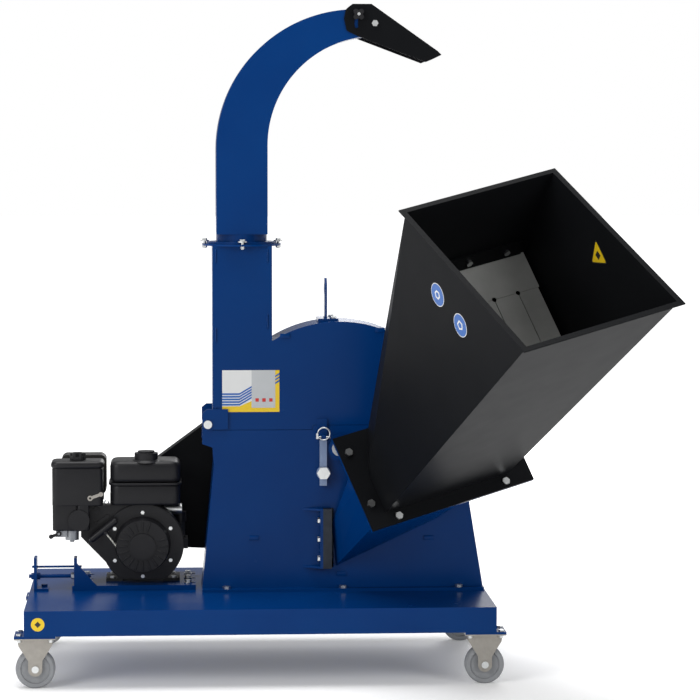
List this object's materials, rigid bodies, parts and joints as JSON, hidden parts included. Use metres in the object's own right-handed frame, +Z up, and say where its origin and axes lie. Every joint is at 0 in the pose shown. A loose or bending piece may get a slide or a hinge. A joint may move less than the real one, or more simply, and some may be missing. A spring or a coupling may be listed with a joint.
{
  "type": "wood chipper",
  "caption": "Wheeled disc wood chipper with slanted feed hopper, tipping upper casing, swivelling discharge chute with deflector, and a belt-driven petrol engine.",
  "frame": {"origin": "centre of the bounding box's footprint, on the floor under the wheels", "axes": "+X to the machine's right, away from the engine; +Y to the rear, where the belt guard is; +Z up"},
  "size_m": [1.5704, 1.586, 1.7428],
  "materials": {
    "blue_paint": "glossy deep blue powder coat",
    "black_paint": "glossy black powder coat",
    "zinc": "bright zinc plate",
    "fork_zinc": "dull zinc plate",
    "machined": "machined steel",
    "wheel_grey": "grey rubber",
    "curtain_grey": "pale grey rubber",
    "belt_rubber": "black rubber",
    "cast": "dark cast iron",
    "alloy": "cast aluminium",
    "engine_black": "black plastic",
    "exhaust": "dark heat-stained steel",
    "rope_white": "braided cord",
    "red_plastic": "red plastic",
    "blue_steel": "blue painted steel"
  },
  "bodies": {
    "frame": {"deck": "blue_paint", "caster_forks": "fork_zinc", "caster_hardware": "zinc", "lower_casing": "blue_paint", "frame_bolts": "zinc", "infeed_box": "blue_paint", "hopper": "black_paint", "infeed_bolts": "zinc", "curtain_clamp": "black_paint", "curtain": "curtain_grey", "anvil_knife": "machined", "bearing_housings": "blue_paint", "hinge_pin": "zinc", "guard_plate": "black_paint", "guard_cover": "black_paint", "belts": "belt_rubber", "tensioner": "blue_paint"},
    "wheel_fl": {"wheel_front_left": "wheel_grey"},
    "wheel_fr": {"wheel_front_right": "wheel_grey"},
    "wheel_rl": {"wheel_rear_left": "wheel_grey"},
    "wheel_rr": {"wheel_rear_right": "wheel_grey"},
    "tongue_l": {"curtain_tongue_left": "curtain_grey"},
    "tongue_m": {"curtain_tongue_middle": "curtain_grey"},
    "tongue_r": {"curtain_tongue_right": "curtain_grey"},
    "rotor": {"rotor_shaft": "machined", "rotor_disc": "blue_steel", "rotor_knives": "machined", "knife_bolts": "zinc", "rotor_pulley": "cast"},
    "upper": {"upper_casing": "blue_paint", "lifting_lug": "blue_paint", "upper_bolts": "zinc"},
    "chute": {"chute": "blue_paint", "deflector_bolts": "zinc"},
    "deflector": {"deflector": "black_paint"},
    "knob": {"star_knob": "engine_black"},
    "latch": {"latch_bar": "blue_paint"},
    "lynch": {"lynch_pin": "zinc"},
    "engine": {"engine_plate": "blue_paint", "tensioner_nuts": "zinc", "crankcase": "cast", "cylinder_head": "alloy", "blower_housing": "engine_black", "recoil_cover": "engine_black", "fuel_tank": "engine_black", "air_filter": "engine_black", "carburettor": "alloy", "muffler": "exhaust", "engine_bolts": "zinc"},
    "crank": {"crankshaft": "machined", "engine_pulley": "cast"},
    "starter": {"starter_handle": "engine_black", "starter_rope": "rope_white"},
    "fuel_cap": {"fuel_cap": "engine_black"},
    "filter_knob": {"filter_knob": "engine_black"},
    "dipstick": {"dipstick": "engine_black"},
    "throttle": {"throttle_lever": "engine_black"},
    "choke": {"choke_lever": "fork_zinc"},
    "fuel_tap": {"fuel_lever": "engine_black"},
    "switch": {"engine_switch": "red_plastic"}
  },
  "joints": [
    {"name": "wheel_fl_spin", "type": "hinge", "parent": "frame", "child": "wheel_fl", "pos_m": [-0.73268, 0.13801, 0.05], "axis": [0, 1, 0], "continuous": true},
    {"name": "wheel_fr_spin", "type": "hinge", "parent": "frame", "child": "wheel_fr", "pos_m": [0.41332, 0.13801, 0.05], "axis": [0, 1, 0], "continuous": true},
    {"name": "wheel_rl_spin", "type": "hinge", "parent": "frame", "child": "wheel_rl", "pos_m": [-0.73268, 0.74801, 0.05], "axis": [0, 1, 0], "continuous": true},
    {"name": "wheel_rr_spin", "type": "hinge", "parent": "frame", "child": "wheel_rr", "pos_m": [0.41332, 0.74801, 0.05], "axis": [0, 1, 0], "continuous": true},
    {"name": "rotor_spin", "type": "hinge", "parent": "frame", "child": "rotor", "pos_m": [0.05432, 0.44301, 0.582], "axis": [0, 1, 0], "continuous": true},
    {"name": "crank_spin", "type": "hinge", "parent": "engine", "child": "crank", "pos_m": [-0.46268, 0.44301, 0.3213], "axis": [0, 1, 0], "continuous": true},
    {"name": "casing_hinge", "type": "hinge", "parent": "frame", "child": "upper", "pos_m": [-0.29068, 0.44301, 0.645], "axis": [0, -1, 0], "range_deg": [0, 90]},
    {"name": "chute_turn", "type": "hinge", "parent": "upper", "child": "chute", "pos_m": [-0.19968, 0.46101, 1.117], "axis": [0, 0, 1], "range_deg": [-180, 180]},
    {"name": "deflector_tilt", "type": "hinge", "parent": "chute", "child": "deflector", "pos_m": [0.14732, 0.46101, 1.69284], "axis": [0, -1, 0], "range_deg": [-38, 9]},
    {"name": "knob_turn", "type": "hinge", "parent": "chute", "child": "knob", "pos_m": [0.10406, 0.44301, 1.71584], "axis": [0, 1, 0], "continuous": true},
    {"name": "latch_swing", "type": "hinge", "parent": "frame", "child": "latch", "pos_m": [0.01232, 0.44301, 0.517], "axis": [0, -1, 0], "range_deg": [0, 95]},
    {"name": "lynch_pull", "type": "slide", "parent": "upper", "child": "lynch", "axis": [-1, 0, 0], "range_m": [0, 0.045]},
    {"name": "tongue_l_swing", "type": "hinge", "parent": "frame", "child": "tongue_l", "pos_m": [0.18684, -0.23639, 0.94822], "axis": [0.8949, 0.3877, 0.2211], "range_deg": [-30, 30]},
    {"name": "tongue_m_swing", "type": "hinge", "parent": "frame", "child": "tongue_m", "pos_m": [0.18684, -0.23639, 0.94822], "axis": [0.8949, 0.3877, 0.2211], "range_deg": [-30, 30]},
    {"name": "tongue_r_swing", "type": "hinge", "parent": "frame", "child": "tongue_r", "pos_m": [0.18684, -0.23639, 0.94822], "axis": [0.8949, 0.3877, 0.2211], "range_deg": [-30, 30]},
    {"name": "belt_tension", "type": "slide", "parent": "frame", "child": "engine", "axis": [-1, 0, 0], "range_m": [0, 0.015], "deforming": ["belts"]},
    {"name": "starter_pull", "type": "slide", "parent": "engine", "child": "starter", "axis": [-0.6189, 0, 0.7855], "range_m": [0, 0.012], "stiffness_N_per_m": 60},
    {"name": "fuel_cap_turn", "type": "hinge", "parent": "engine", "child": "fuel_cap", "pos_m": [-0.45268, 0.45301, 0.5453], "axis": [0, 0, 1], "range_deg": [0, 90]},
    {"name": "filter_knob_turn", "type": "hinge", "parent": "engine", "child": "filter_knob", "pos_m": [-0.63268, 0.44301, 0.5463], "axis": [0, 0, 1], "continuous": true},
    {"name": "dipstick_turn", "type": "hinge", "parent": "engine", "child": "dipstick", "pos_m": [-0.36368, 0.53801, 0.3213], "axis": [0, 0, 1], "continuous": true},
    {"name": "throttle_swing", "type": "hinge", "parent": "engine", "child": "throttle", "pos_m": [-0.58468, 0.44301, 0.3753], "axis": [0, 1, 0], "range_deg": [-15, 10]},
    {"name": "choke_swing", "type": "hinge", "parent": "engine", "child": "choke", "pos_m": [-0.59968, 0.40301, 0.4493], "axis": [0, 1, 0], "range_deg": [-20, 25]},
    {"name": "fuel_tap_swing", "type": "hinge", "parent": "engine", "child": "fuel_tap", "pos_m": [-0.68268, 0.42101, 0.3533], "axis": [0, 1, 0], "range_deg": [-30, 30]},
    {"name": "switch_turn", "type": "hinge", "parent": "engine", "child": "switch", "pos_m": [-0.58468, 0.44301, 0.4113], "axis": [0, 1, 0], "range_deg": [0, 45]}
  ],
  "couplings": [
    {"joint": "crank_spin", "follows": "rotor_spin", "ratio": 2}
  ]
}
